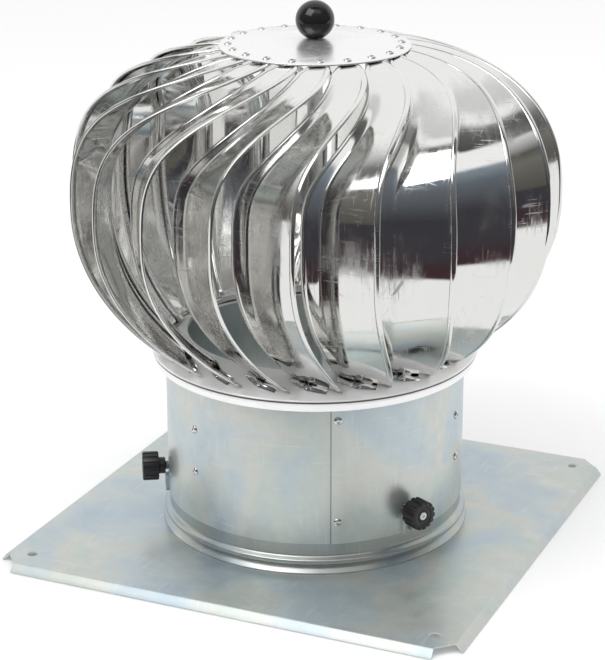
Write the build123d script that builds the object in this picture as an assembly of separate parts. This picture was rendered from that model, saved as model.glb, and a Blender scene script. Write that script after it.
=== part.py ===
from build123d import *
import os
from math import asin, atan2, cos, degrees, pi, radians, sin, sqrt

# Roof turbine ventilator: a vaned rotor on a ball-raced shaft, carried by a round neck that
# slips over the collar of a square roof flange and is clamped there by three thumb screws.
# Millimetres, +Z up. The origin is the centre of the flange on the plane that its lips rest on.
# Azimuth 0 points along -Y and grows towards +X, so a front corner is at +-45 degrees.

# ---- driving dimensions -------------------------------------------------------------------
fit = 0.3  # clearance between curved faces that meet
press = 0.02  # radial clearance of seated rings and inserts

# base flange
plate_side = 324.0
plate_height = 6.0
plate_sheet = 1.0
plate_border = 6.0
corner_cut = 16.0
bolt_inset = 21.0
bolt_hole = 7.0

# collar on the flange
neck_radius = 100.0
neck_sheet = 0.7
collar_sheet = 0.7
collar_top = 52.0
collar_bottom = 2.0
bead_height = 13.8
bead_rise = 3.7
bead_half = 3.4
collar_foot_rise = 4.6
collar_foot_sheet = 0.8

# neck
neck_bottom = 26.0
neck_top = 127.0
seam_azimuth = 31.9
seam_lap = 10.0
seam_rivet_rise = 15.0
seam_rivet_drop = 16.0
seam_margin = 4.4

# thumb screws
screw_count = 3
screw_azimuth = 60.0
screw_height = 43.0
screw_radius = 3.0
slot_mouth = 8.0
slot_lip = 1.6
slot_lip_height = 10.5
hub_radius = 5.6
hub_length = 5.0
hub_gap = 2.2
knob_radius = 9.8
knob_length = 10.5
stud_sink = 0.4
knob_flutes = 14
flute_depth = 0.9
nut_across = 10.0
nut_height = 5.0
nut_gap = 0.4
thread_fit = 0.05
stud_reach = 10.3

# spider that carries the bearings
arm_count = 3
arm_azimuth = -28.0
arm_foot_width = 20.0
arm_foot_gap = 2.0
arm_foot_height = 43.0
arm_sheet = 2.0
arm_rivet_rises = (6.5, 36.0)
arm_hub_height = 26.0
arm_hub_rise = 8.0
arm_seat = 0.3

# bearings and shaft
bearing_bore = 10.0
bearing_outer = 26.0
bearing_width = 8.0
race_wall = 2.2
housing_radius = 17.0
housing_drop = 6.0
housing_length = 44.0
bearing_inset = 1.0
shield_inset = 0.4
shield_sheet = 0.6
shaft_nut_across = 13.0
shaft_nut_height = 5.0
washer_radius = 9.0
washer_sheet = 1.2
stud_radius = 3.0
flange_radius = 20.0
flange_sheet = 3.0
flange_seat = 0.2

# rotor
vane_count = 20
waist_height = 230.0
waist_radius = 161.0
foot_inset = 5.65436
upper_height = 101.8
upper_power = 2.7
top_sweep = 31.5
top_sweep_power = 4.3
bottom_sweep = 14.0
bottom_sweep_power = 2.4
vane_phase = 19.1
vane_sheet = 0.6
crease_angle = 12.4
vane_angle = 17.3
crease_depth = 24.0
flange_depth = 25.0
bottom_crease_depth = 10.0
bottom_flange_depth = 16.0
bottom_angle = 20.0
tab_depth = 0.5
tab_angle = 11.5
tab_taper = 3.5
hem_sheet = 1.3

# rotor top
disc_radius = 61.6
disc_sheet = 1.0
disc_rise = 4.0
disc_seat = 0.3
tab_length = 13.6
top_rivet_inset = 6.0
ball_radius = 12.5
ball_flat = 11.6
insert_radius = 4.5
insert_length = 12.0

# rotor ring
ring_gap = 8.9
ring_lift = 0.4
ring_skirt_gap = 6.8
ring_skirt_drop = 7.3
ring_overlap = 15.0
ring_slope = 0.504
ring_sheet = 0.7
ring_lip = 3.0
ring_edge = 1.5
foot_seat = 0.3
foot_lift = 0.6
foot_width = 25.0
foot_reach = 8.0
foot_side = 5.4
foot_rivet_reach = 5.2
foot_shift = 3.0
foot_root = 0.6

# rivets
rivet_head = 2.8
rivet_rise = 1.1
rivet_shank = 1.5
rivet_fit = 0.2
rivet_sides = 8
rivet_stand = 0.1

# ---- values that follow -------------------------------------------------------------------
neck_inner = neck_radius - neck_sheet
collar_radius = neck_inner - fit
collar_inner = collar_radius - collar_sheet
plate_bore = collar_radius + fit
bolt_square = plate_side - 2 * bolt_inset
bead_radius = collar_radius + bead_rise
collar_foot = collar_radius + collar_foot_rise
seam_rivet_heights = (neck_bottom + seam_rivet_rise, neck_top - seam_rivet_drop)
screw_hole = screw_radius + fit
stud_end = collar_inner - stud_reach
arm_foot_bottom = collar_top + arm_foot_gap
arm_rivet_heights = [arm_foot_bottom + rise for rise in arm_rivet_rises]
arm_hub_bottom = arm_foot_bottom + arm_hub_rise
housing_bottom = arm_hub_bottom - housing_drop
shaft_radius = bearing_bore / 2 - press
race_inner_radius = bearing_bore / 2 + race_wall
race_outer_radius = bearing_outer / 2 - race_wall
shield_radius = race_inner_radius + thread_fit
lower_bearing = housing_bottom + bearing_inset
upper_bearing = housing_bottom + housing_length - bearing_inset - bearing_width
ring_radius = neck_radius + ring_gap
ring_edge_height = neck_top + ring_lift
ring_skirt_radius = neck_radius + ring_skirt_gap
ring_skirt_bottom = ring_edge_height - ring_skirt_drop
ring_inner_radius = neck_radius - ring_overlap
tab_radius = disc_radius - tab_length
top_rivet_radius = disc_radius - top_rivet_inset
rivet_hole = rivet_shank + rivet_fit
pitch_angle = 360 / vane_count
slope_angle = degrees(atan2(ring_slope, 1))


def at_azimuth(radius, azimuth, height):
    """The point at a radius, an azimuth from -Y towards +X, and a height."""
    return Vector(radius * sin(radians(azimuth)), -radius * cos(radians(azimuth)), height)


def ring_plane(azimuth, radius=0.0, height=0.0):
    """A plane whose z runs outwards along an azimuth and whose y points up."""
    outwards = at_azimuth(1, azimuth, 0)
    return Plane(at_azimuth(radius, azimuth, height), x_dir=(-outwards.Y, outwards.X, 0), z_dir=outwards)


def turned(points, arc=360):
    """A closed outline in the X-Z plane, given as (radius, height) pairs, spun about Z."""
    outline = make_face(Polyline([(r, 0, z) for r, z in points], close=True))
    return revolve(outline, Axis.Z, arc)


def band(inner, outer, bottom, top):
    """A plain ring between two radii and two heights."""
    return turned([(inner, bottom), (outer, bottom), (outer, top), (inner, top)])


def rivet(plane, grip, head=rivet_head):
    """A domed rivet: its head stands on the plane and its shank runs `grip` below it."""
    dome = loft([
        plane * RegularPolygon(head, rivet_sides),
        plane.offset(rivet_rise) * RegularPolygon(head * 0.45, rivet_sides),
    ])
    shank = extrude(plane * RegularPolygon(rivet_shank, rivet_sides), -grip)
    return dome + shank


def rivet_cut(plane, grip):
    """The clearance hole of a rivet, through everything its shank passes."""
    return extrude(plane.offset(rivet_rise) * RegularPolygon(rivet_hole, rivet_sides), -(grip + 2 * rivet_rise))


# ---- the rotor's form ---------------------------------------------------------------------
def ring_surface(radius):
    """Height of the ring's sloping shoulder at a radius."""
    return ring_edge_height + ring_slope * (ring_radius - radius)


def lower_reach(radius):
    """Depth of the envelope's lower half, so that it meets the ring's shoulder at this radius."""
    return (waist_height - ring_surface(radius)) / sqrt(1 - (radius / waist_radius) ** 2)


lower_height = lower_reach(ring_radius - foot_inset)


def shell_radius(height):
    """Radius of the envelope that the vanes' outer edges lie on."""
    above = height - waist_height
    if above > 0:
        return waist_radius * (1 - (above / upper_height) ** upper_power) ** (1 / upper_power)
    return waist_radius * sqrt(1 - (above / lower_height) ** 2)


def shell_height(radius):
    """Height of the envelope's upper half at a radius."""
    return waist_height + upper_height * (1 - (radius / waist_radius) ** upper_power) ** (1 / upper_power)


vane_foot = ring_surface(ring_radius - foot_inset) + foot_lift
foot_radius = shell_radius(vane_foot)
rim_height = shell_height(disc_radius)


def vane_station(radius, height):
    """The outer edge, crease and inner edge of a vane where the envelope has this radius and height."""
    if height > waist_height:
        share = min((height - waist_height) / (rim_height - waist_height), 1)
        sweep = top_sweep * share ** top_sweep_power
        fade = share ** 4
        crease = crease_depth + (tab_depth - crease_depth) * fade
        flange = flange_depth + (tab_depth - flange_depth) * fade
        across = (radius / waist_radius) ** (upper_power - 1) / waist_radius
        upwards = ((height - waist_height) / upper_height) ** (upper_power - 1) / upper_height
        dip = -atan2(upwards, across)
        narrow = min(max((disc_radius + tab_taper - radius) / (2 * tab_taper), 0), 1)
        whole = vane_angle + (tab_angle - vane_angle) * narrow
    else:
        share = (waist_height - height) / (waist_height - vane_foot)
        sweep = bottom_sweep * share ** bottom_sweep_power
        crease = crease_depth + (bottom_crease_depth - crease_depth) * share ** 2
        flange = flange_depth + (bottom_flange_depth - flange_depth) * share ** 2
        dip = radians(slope_angle) * share ** 2
        whole = vane_angle + (bottom_angle - vane_angle) * share ** 2
    bend = crease_angle * whole / vane_angle
    return [
        at_azimuth(radius, sweep, height),
        at_azimuth(radius - crease * cos(dip), sweep - bend, height + crease * sin(dip)),
        at_azimuth(radius - flange * cos(dip), sweep - whole, height + flange * sin(dip)),
    ]


def vane_stations():
    """Stations of a vane from its foot on the ring to the end of its tab under the disc."""
    stations = []
    foot_turn = asin((waist_height - vane_foot) / lower_height)
    for step in range(5):
        turn = foot_turn * (1 - step / 5)
        stations.append((waist_radius * cos(turn), waist_height - lower_height * sin(turn)))
    stations.append((waist_radius, waist_height))
    rim = disc_radius + tab_taper
    upper = [rim + (waist_radius - rim) * share for share in (0.95308, 0.82273, 0.61418, 0.36392, 0.15537, 0)]
    for radius in (*upper, disc_radius - tab_taper, tab_radius):
        stations.append((radius, shell_height(radius)))
    return stations


def vane_blank():
    """One vane at azimuth 0: a swept, creased sheet that thickens to its hemmed free edge."""
    rows = [vane_station(*station) for station in vane_stations()]
    rails = [[] for _ in range(6)]
    for index, (edge, crease, flange) in enumerate(rows):
        before = rows[max(index - 1, 0)]
        after = rows[min(index + 1, len(rows) - 1)]
        along = (after[1] - before[1]).normalized()
        face_out = (edge - crease).cross(along).normalized()
        flange_out = (crease - flange).cross(along).normalized()
        crease_out = (face_out + flange_out).normalized()
        section = (
            edge,
            crease,
            flange,
            flange - flange_out * vane_sheet,
            crease - crease_out * vane_sheet,
            edge - face_out * hem_sheet,
        )
        for rail, point in zip(rails, section):
            rail.append(point)
    edges = [Spline(rail) for rail in rails]
    faces = [Face.make_surface_from_curves(a, b) for a, b in zip(edges, edges[1:] + edges[:1])]
    for end in (0, -1):
        corner = [rail[end] for rail in rails]
        for triangle in ((0, 1, 4), (0, 4, 5), (1, 2, 3), (1, 3, 4)):
            faces.append(Face(Wire.make_polygon([corner[i] for i in triangle])))
    return Solid(Shell(faces))


def foot_plane():
    """The plane of a vane's foot on the ring: origin at the fold's middle, x along the fold, z off the ring."""
    edge, _, flange = vane_station(foot_radius, vane_foot)
    fold = (flange - edge).normalized()
    middle = (edge + flange) / 2
    across = Vector(middle.X, middle.Y, 0)
    outwards = across.normalized()
    off_ring = outwards * sin(radians(slope_angle)) + Vector(0, 0, cos(radians(slope_angle)))
    fold = (fold - off_ring * fold.dot(off_ring)).normalized()
    middle = across + Vector(0, 0, ring_surface(across.length)) + off_ring * foot_seat
    return Plane(middle, x_dir=fold, z_dir=off_ring)


def foot_rivet_plane():
    """The top of the foot where its rivet sits, with z along the rivet."""
    plane = foot_plane()
    seat = plane.from_local_coords(Vector(foot_shift, foot_rivet_reach, vane_sheet + rivet_stand))
    return Plane(seat, x_dir=plane.x_dir, z_dir=plane.z_dir)


def tab_rivet_plane(azimuth):
    """The top of the disc over a vane's tab."""
    height = rim_height + disc_seat + disc_crown(top_rivet_radius) + disc_sheet + rivet_stand
    lean = atan2(disc_rise, disc_radius - flange_radius)
    off_disc = at_azimuth(sin(lean), azimuth, cos(lean))
    return Plane(at_azimuth(top_rivet_radius, azimuth, height), z_dir=off_disc)


def disc_crown(radius):
    """How far the domed disc stands over its rim at a radius; it is flat over the shaft's flange."""
    return disc_rise * min(1, (disc_radius - radius) / (disc_radius - flange_radius))


tab_rivet_azimuth = top_sweep - tab_angle / 2
top_grip = disc_sheet + disc_seat + disc_crown(tab_radius) + vane_sheet + rivet_rise
foot_grip = vane_sheet + foot_seat + ring_sheet + rivet_rise


def make_vane():
    """A whole vane: the blank, its foot on the ring and the rivet holes at both ends."""
    plane = foot_plane()
    half = foot_width / 2
    outline = Polyline(
        [
            (foot_shift - half, -foot_root),
            (foot_shift + half, -foot_root),
            (foot_shift + half, foot_side),
            (foot_shift, foot_reach),
            (foot_shift - half, foot_side),
        ],
        close=True,
    )
    foot = extrude(plane * make_face(outline), vane_sheet)
    vane = vane_blank() + foot
    vane -= rivet_cut(foot_rivet_plane(), foot_grip)
    vane -= rivet_cut(tab_rivet_plane(tab_rivet_azimuth), top_grip)
    return vane


# ---- base ---------------------------------------------------------------------------------
def make_base_plate():
    """Square flange with its border bent down, cut corners, a duct bore and four bolt holes."""
    half = plate_side / 2
    lean = degrees(atan2(plate_border, plate_height))
    wall = plate_sheet / cos(radians(lean))
    outer = extrude(Rectangle(plate_side, plate_side), plate_height, taper=lean)
    inner = extrude(Rectangle(plate_side - 2 * wall, plate_side - 2 * wall), plate_height - plate_sheet, taper=lean)
    corners = extrude(chamfer(Rectangle(plate_side, plate_side).vertices(), corner_cut), plate_height)
    plate = (outer - inner) & corners
    plate -= Cylinder(plate_bore, 4 * plate_height)
    for x in (-1, 1):
        for y in (-1, 1):
            plate -= Pos(x * bolt_square / 2, y * bolt_square / 2, 0) * Cylinder(bolt_hole / 2, 4 * plate_height)
    return plate


def make_collar():
    """Collar spun from sheet: a spigot through the flange, a foot on it, a bead and a plain tube."""
    low = bead_height - bead_half
    high = bead_height + bead_half
    foot_top = plate_height + collar_foot_sheet
    collar = turned([
        (collar_inner, collar_bottom),
        (collar_radius, collar_bottom),
        (collar_radius, plate_height),
        (collar_foot, plate_height),
        (collar_foot, foot_top),
        (collar_radius, low),
        (bead_radius, bead_height - bead_half / 3),
        (bead_radius, bead_height + bead_half / 3),
        (collar_radius, high),
        (collar_radius, collar_top),
        (collar_inner, collar_top),
        (collar_inner, high + collar_sheet / 2),
        (bead_radius - collar_sheet, bead_height + bead_half / 3),
        (bead_radius - collar_sheet, bead_height - bead_half / 3),
        (collar_inner, low - collar_sheet / 2),
    ])
    for azimuth in screw_azimuths():
        collar -= extrude(ring_plane(azimuth, 0, screw_height) * Circle(screw_hole), bead_radius)
    return collar


def screw_azimuths():
    return [screw_azimuth + 360 / screw_count * index for index in range(screw_count)]


def make_clamp_nuts():
    """Square weld nuts inside the collar, one behind each screw."""
    face = collar_inner - nut_gap
    nuts = []
    for azimuth in screw_azimuths():
        plane = ring_plane(azimuth, face, screw_height)
        outline = Rectangle(nut_across, nut_across) - Circle(screw_radius + thread_fit)
        nuts.append(extrude(plane * outline, -nut_height))
    return Compound(nuts)


# ---- thumb screws -------------------------------------------------------------------------
hub_face = neck_radius + hub_gap
knob_face = hub_face + hub_length + knob_length


def make_thumb_stud(azimuth):
    """Threaded stud through the nut, the collar and the neck's slot, ending just under the knob's face."""
    plane = ring_plane(azimuth, stud_end, screw_height)
    return extrude(plane * Circle(screw_radius), knob_face - stud_sink - stud_end)


def make_thumb_knob(azimuth):
    """Fluted knob with a plain hub towards the neck."""
    hub = extrude(ring_plane(azimuth, hub_face, screw_height) * Circle(hub_radius), hub_length)
    outline = make_face(Polyline(
        [
            (radius * cos(2 * pi * (flute + share) / knob_flutes), radius * sin(2 * pi * (flute + share) / knob_flutes))
            for flute in range(knob_flutes)
            for radius, share in (
                (knob_radius, 0),
                (knob_radius, 0.5),
                (knob_radius - flute_depth, 0.6),
                (knob_radius - flute_depth, 0.9),
            )
        ],
        close=True,
    ))
    head_plane = ring_plane(azimuth, hub_face + hub_length, screw_height)
    head = extrude(head_plane * outline, knob_length)
    bore = extrude(ring_plane(azimuth, hub_face, screw_height) * Circle(screw_radius + press), knob_face - hub_face)
    return hub + head - bore


# ---- neck ---------------------------------------------------------------------------------
def slot_outline(grow=0.0):
    """A slot that is open at the neck's lower edge and ends in a round seat for the screw."""
    mouth = slot_mouth / 2 + grow
    seat = screw_hole + grow
    drop = screw_height - neck_bottom
    outline = make_face(Polyline([(-mouth, -drop), (mouth, -drop), (seat, 0), (-seat, 0)], close=True))
    return outline + Circle(seat)


def make_neck_shell():
    """Neck tube with a riveted lap seam and three lipped slots that drop over the screws."""
    shell = band(neck_inner, neck_radius, neck_bottom, neck_top)
    lap_start = seam_azimuth - degrees(seam_margin / neck_radius)
    lap = turned(
        [
            (neck_radius - neck_sheet / 2, neck_bottom),
            (neck_radius + neck_sheet, neck_bottom),
            (neck_radius + neck_sheet, neck_top),
            (neck_radius - neck_sheet / 2, neck_top),
        ],
        degrees(seam_lap / neck_radius),
    )
    shell += Rot(0, 0, lap_start - 90) * lap
    for azimuth in screw_azimuths():
        lip_keep = Pos(0, slot_lip_height / 2 - (screw_height - neck_bottom)) * Rectangle(2 * slot_mouth, slot_lip_height)
        lips = slot_outline(neck_sheet) & lip_keep
        plane = ring_plane(azimuth, neck_inner, screw_height)
        shell += extrude(plane * lips, neck_sheet + slot_lip)
        shell -= extrude(ring_plane(azimuth, neck_radius / 2, screw_height) * slot_outline(), neck_radius)
        below = Rectangle(2 * slot_mouth, neck_bottom)
        shell -= extrude(
            ring_plane(azimuth, neck_radius / 2, neck_bottom / 2) * below, neck_radius
        )
    for plane in seam_rivet_planes():
        shell -= rivet_cut(plane, seam_grip)
    for azimuth in arm_azimuths():
        for plane in arm_rivet_planes(azimuth):
            shell -= rivet_cut(plane, neck_grip + arm_sheet)
    return shell


def seam_rivet_planes():
    return [ring_plane(seam_azimuth, neck_radius + neck_sheet + rivet_stand, height) for height in seam_rivet_heights]


def arm_azimuths():
    return [arm_azimuth + 360 / arm_count * index for index in range(arm_count)]


def arm_rivet_planes(azimuth):
    return [ring_plane(azimuth, neck_radius + rivet_stand, height) for height in arm_rivet_heights]


def make_spider_arm(azimuth):
    """Bent strip from the neck's wall to the bearing housing: a riveted foot and a tapered web."""
    face = neck_inner - arm_seat
    arc = degrees(arm_foot_width / face)
    foot = turned(
        [
            (face - arm_sheet, arm_foot_bottom),
            (face, arm_foot_bottom),
            (face, arm_foot_bottom + arm_foot_height),
            (face - arm_sheet, arm_foot_bottom + arm_foot_height),
        ],
        arc,
    )
    root = housing_radius + arm_seat
    hub_top = arm_hub_bottom + arm_hub_height
    outline = make_face(Polyline(
        [
            (root, 0, arm_hub_bottom),
            (face - arm_sheet / 2, 0, arm_foot_bottom),
            (face - arm_sheet / 2, 0, arm_foot_bottom + arm_foot_height),
            (root, 0, hub_top),
        ],
        close=True,
    ))
    web = extrude(outline, arm_sheet / 2, both=True)
    arm = Rot(0, 0, azimuth - 90) * (Rot(0, 0, -arc / 2) * foot + web)
    for plane in arm_rivet_planes(azimuth):
        arm -= rivet_cut(plane, neck_grip + arm_sheet)
    return arm


def make_bearing_housing():
    """Tube with a counterbored seat for a bearing at each end."""
    top = housing_bottom + housing_length
    seat = bearing_outer / 2 + press
    return turned([
        (seat - race_wall, lower_bearing + bearing_width),
        (seat, lower_bearing + bearing_width),
        (seat, housing_bottom),
        (housing_radius, housing_bottom),
        (housing_radius, top),
        (seat, top),
        (seat, upper_bearing),
        (seat - race_wall, upper_bearing),
    ])


# ---- shaft and bearings -------------------------------------------------------------------
def make_outer_race(bottom):
    """Outer ring of a shielded bearing: the ring and its two shields, running clear of the inner ring."""
    top = bottom + bearing_width
    race = band(race_outer_radius, bearing_outer / 2, bottom, top)
    for low in (bottom + shield_inset, top - shield_inset - shield_sheet):
        race += band(shield_radius, race_outer_radius + press, low, low + shield_sheet)
    return race


def make_shaft():
    """Shaft from the lower nut to the disc, with a slimmer stud through the disc into the ball."""
    top = disc_centre_bottom - flange_sheet
    shaft = Pos(0, 0, shaft_bottom) * Cylinder(shaft_radius, top - shaft_bottom, align=(Align.CENTER, Align.CENTER, Align.MIN))
    stud = Pos(0, 0, top) * Cylinder(stud_radius, stud_top - top, align=(Align.CENTER, Align.CENTER, Align.MIN))
    return shaft + stud


disc_centre_bottom = rim_height + disc_seat + disc_rise
disc_centre_top = disc_centre_bottom + disc_sheet
washer_bottom = lower_bearing - washer_sheet
nut_bottom = washer_bottom - shaft_nut_height
shaft_bottom = nut_bottom - 2.0
ball_centre = disc_centre_top + ball_flat
stud_top = disc_centre_top + insert_length - 1.0
neck_grip = neck_sheet + rivet_stand + rivet_rise
seam_grip = 2 * neck_sheet + rivet_stand


def make_shaft_flange():
    """Flange on the shaft that carries the disc from below."""
    return band(stud_radius + press, flange_radius, disc_centre_bottom - flange_sheet, disc_centre_bottom - flange_seat)


def make_shaft_nut():
    nut = RegularPolygon(shaft_nut_across / 2, 6, major_radius=False) - Circle(shaft_radius + thread_fit)
    return extrude(Plane.XY.offset(nut_bottom) * nut, shaft_nut_height)


# ---- rotor --------------------------------------------------------------------------------
def vane_azimuths():
    return [vane_phase + pitch_angle * index for index in range(vane_count)]


def make_top_disc():
    """Domed disc over the vanes' tabs, holed for the shaft's stud and the rivets."""
    bottom = rim_height + disc_seat
    bore = stud_radius + fit
    radii = (disc_radius, flange_radius, bore)
    under = [(radius, bottom + disc_crown(radius)) for radius in radii]
    over = [(radius, height + disc_sheet) for radius, height in reversed(under)]
    disc = turned(under + over)
    for azimuth in vane_azimuths():
        disc -= rivet_cut(tab_rivet_plane(azimuth + tab_rivet_azimuth), top_grip)
    return disc


def make_ring():
    """Lower ring: a sloping shoulder for the vanes' feet over a short skirt round the neck's top."""
    wall = ring_sheet / cos(radians(slope_angle))
    skirt_top = ring_radius - ring_edge
    inner = ring_inner_radius + ring_sheet
    ring = turned([
        (ring_skirt_radius, ring_skirt_bottom),
        (skirt_top, ring_edge_height - ring_edge),
        (ring_radius, ring_edge_height),
        (ring_inner_radius, ring_surface(ring_inner_radius)),
        (ring_inner_radius, ring_surface(ring_inner_radius) - ring_lip),
        (inner, ring_surface(ring_inner_radius) - ring_lip),
        (inner, ring_surface(inner) - wall),
        (skirt_top - ring_sheet, ring_surface(skirt_top - ring_sheet) - wall),
        (skirt_top - ring_sheet, ring_edge_height - ring_edge),
        (ring_skirt_radius - ring_sheet, ring_skirt_bottom),
    ])
    for azimuth in vane_azimuths():
        ring -= Rot(0, 0, azimuth) * rivet_cut(foot_rivet_plane(), foot_grip)
    return ring


def make_ball_knob():
    """Ball with a flat foot, bored for its threaded insert."""
    ball = Pos(0, 0, ball_centre) * Sphere(ball_radius)
    ball -= Pos(0, 0, disc_centre_top + flange_seat - ball_radius) * Cylinder(2 * ball_radius, 2 * ball_radius)
    bore = Cylinder(insert_radius + press, insert_length + press, align=(Align.CENTER, Align.CENTER, Align.MIN))
    return ball - Pos(0, 0, disc_centre_top) * bore


def make_ball_insert():
    return band(stud_radius + thread_fit, insert_radius, disc_centre_top + flange_seat, disc_centre_top + insert_length)


# ---- nodes --------------------------------------------------------------------------------
def all_nodes():
    nodes = {
        "base_plate": make_base_plate(),
        "base_collar": make_collar(),
        "clamp_nuts": make_clamp_nuts(),
        "neck_shell": make_neck_shell(),
        "seam_rivets": Compound([rivet(plane, seam_grip) for plane in seam_rivet_planes()]),
        "bearing_housing": make_bearing_housing(),
        "spider_rivets": Compound([
            rivet(plane, neck_grip + arm_sheet) for azimuth in arm_azimuths() for plane in arm_rivet_planes(azimuth)
        ]),
        "shaft": make_shaft(),
        "shaft_flange": make_shaft_flange(),
        "shaft_nut": make_shaft_nut(),
        "shaft_washer": band(shaft_radius + thread_fit, washer_radius, washer_bottom, lower_bearing),
        "shaft_spacer": band(
            shaft_radius + thread_fit, race_inner_radius, lower_bearing + bearing_width, upper_bearing
        ),
        "top_disc": make_top_disc(),
        "lower_ring": make_ring(),
        "ball_knob": make_ball_knob(),
        "ball_insert": make_ball_insert(),
    }
    for index, azimuth in enumerate(screw_azimuths(), 1):
        nodes[f"thumb_stud_{index}"] = make_thumb_stud(azimuth)
        nodes[f"thumb_knob_{index}"] = make_thumb_knob(azimuth)
    for index, azimuth in enumerate(arm_azimuths(), 1):
        nodes[f"spider_arm_{index}"] = make_spider_arm(azimuth)
    for name, bottom in (("lower", lower_bearing), ("upper", upper_bearing)):
        top = bottom + bearing_width
        nodes[f"{name}_bearing_outer"] = make_outer_race(bottom)
        nodes[f"{name}_bearing_inner"] = band(shaft_radius + press, race_inner_radius, bottom, top)
    vane = make_vane()
    for index, azimuth in enumerate(vane_azimuths(), 1):
        nodes[f"vane_{index:02d}"] = Rot(0, 0, azimuth) * vane
    nodes["top_rivets"] = Compound([
        rivet(tab_rivet_plane(azimuth + tab_rivet_azimuth), top_grip) for azimuth in vane_azimuths()
    ])
    foot_rivet = rivet(foot_rivet_plane(), foot_grip)
    nodes["ring_rivets"] = Compound([Rot(0, 0, azimuth) * foot_rivet for azimuth in vane_azimuths()])
    return nodes


os.makedirs("parts", exist_ok=True)
for name, shape in all_nodes().items():
    export_step(shape, f"parts/{name}.step")
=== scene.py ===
import math

import bmesh
import bpy
from mathutils import Matrix, Vector


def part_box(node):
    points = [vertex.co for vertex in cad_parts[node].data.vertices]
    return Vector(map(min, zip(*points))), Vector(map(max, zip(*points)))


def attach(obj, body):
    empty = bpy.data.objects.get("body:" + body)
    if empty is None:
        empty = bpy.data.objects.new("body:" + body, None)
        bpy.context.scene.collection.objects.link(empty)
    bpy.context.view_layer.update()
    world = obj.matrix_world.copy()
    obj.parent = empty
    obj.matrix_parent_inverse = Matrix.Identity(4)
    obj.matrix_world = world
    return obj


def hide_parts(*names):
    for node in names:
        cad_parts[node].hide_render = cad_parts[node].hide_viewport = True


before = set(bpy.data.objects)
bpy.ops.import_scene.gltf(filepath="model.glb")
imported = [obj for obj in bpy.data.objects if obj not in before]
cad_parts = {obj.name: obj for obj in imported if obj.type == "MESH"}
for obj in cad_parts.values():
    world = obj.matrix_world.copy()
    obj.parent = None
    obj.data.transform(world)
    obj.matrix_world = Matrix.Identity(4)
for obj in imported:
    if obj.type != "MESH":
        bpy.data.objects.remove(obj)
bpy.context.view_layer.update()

# ---- sizes: lengths in metres, azimuths and slopes in degrees --------------------------------
MM = 0.001
AXIS_X = Vector((1, 0, 0))
AXIS_Z = Vector((0, 0, 1))
ORIGIN = Vector((0, 0, 0))

NECK_RADIUS = 100 * MM
NECK_SHEET = 0.7 * MM
NECK_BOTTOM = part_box("neck_shell")[0][2]
NECK_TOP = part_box("neck_shell")[1][2]
SEAM_AZIMUTH = 31.9
SEAM_LAP = 10 * MM
SEAM_RIVET_HEIGHTS = (41 * MM, 111 * MM)
SEAM_MARGIN = 4.4 * MM
LAP_RAMP = 2 * MM
LAP_GAP = 0.05 * MM
NECK_STEPS = 240
LAP_START = math.radians(SEAM_AZIMUTH) - SEAM_MARGIN / NECK_RADIUS
# colour of the painted shadow line along the neck's lap edge
LAP_PAINTED_SHADOW = (0.30, 0.32, 0.34)
DEEP_BLACK = (0.006, 0.006, 0.007)
DUSTY_BLACK = (0.018, 0.017, 0.017)

PLATE_SIDE = 324 * MM
PLATE_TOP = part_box("base_plate")[1][2]
PLATE_SHEET = 1 * MM
PLATE_BORDER = 6 * MM
CORNER_CUT = 16 * MM
BOLT_SQUARE = 282 * MM
BOLT_HOLE = 3.5 * MM
DUCT_RADIUS = 99.3 * MM
DUCT_SEGMENTS = 128
BOLT_SEGMENTS = 24
BORDER_BENDS = ((0.6 * MM, 0.08 * MM), (1.4 * MM, 0.5 * MM))
BORDER_TIP_INSET = 0.7 * MM
BORDER_TIP_RISE = 0.75 * MM

COLLAR_RADIUS = 99 * MM
COLLAR_SHEET = 0.7 * MM
COLLAR_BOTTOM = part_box("base_collar")[0][2]
COLLAR_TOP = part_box("base_collar")[1][2]
COLLAR_FOOT = 103.6 * MM
BEAD_HEIGHT = 13.8 * MM
BEAD_RADIUS = 102.7 * MM
BEAD_HALF = 3.4 * MM
COLLAR_FOOT_SHEET = 0.8 * MM
COLLAR_ROUND = 1.4 * MM
COLLAR_SEGMENTS = 192

SCREW_AZIMUTHS = (60, 180, 300)
SCREW_HEIGHT = 43 * MM
SLOT_MOUTH = 8 * MM
SLOT_LIP = 1.6 * MM
SLOT_LIP_HEIGHT = 10.5 * MM
HUB_FACE = 102.2 * MM
HUB_RADIUS = 5.6 * MM
HUB_LENGTH = 5 * MM
HUB_ROUND = 0.5 * MM
HUB_EASE = 0.4 * MM
KNOB_RADIUS = 9.8 * MM
KNOB_LENGTH = 10.5 * MM
KNOB_FLUTES = 14
FLUTE_DEPTH = 0.9 * MM
KNOB_ROUND = 1.0 * MM
KNOB_EASE = 0.3 * MM
RECESS_RADIUS = 6.3 * MM
RECESS_FLOOR_RADIUS = 5.9 * MM
RECESS_DEPTH = 0.5 * MM
BOSS_FOOT_RADIUS = 4.2 * MM
BOSS_RADIUS = 3.9 * MM
BOSS_DROP = 0.1 * MM
KNOB_BORE_FIT = 0.1 * MM
KNOB_BEVEL = 0.2 * MM
HUB_INSET = 0.8 * MM
STUD_RADIUS = 3 * MM
STUD_INNER_END = 88 * MM
STUD_SINK = 0.4 * MM
THREAD_PITCH = 1.0 * MM
THREAD_DEPTH = 0.45 * MM
SCREW_POINT = 0.6 * MM
SCREW_EASE = 0.4 * MM
SOCKET_RADIUS = 0.9 * MM
SOCKET_FLOOR_RADIUS = 0.7 * MM
SOCKET_WALL = 0.5 * MM
SOCKET_DEPTH = 0.6 * MM
SCREW_SEGMENTS = 28

ARM_AZIMUTHS = (-28, 92, 212)
ARM_RIVET_HEIGHTS = (60.5 * MM, 90 * MM)

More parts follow.
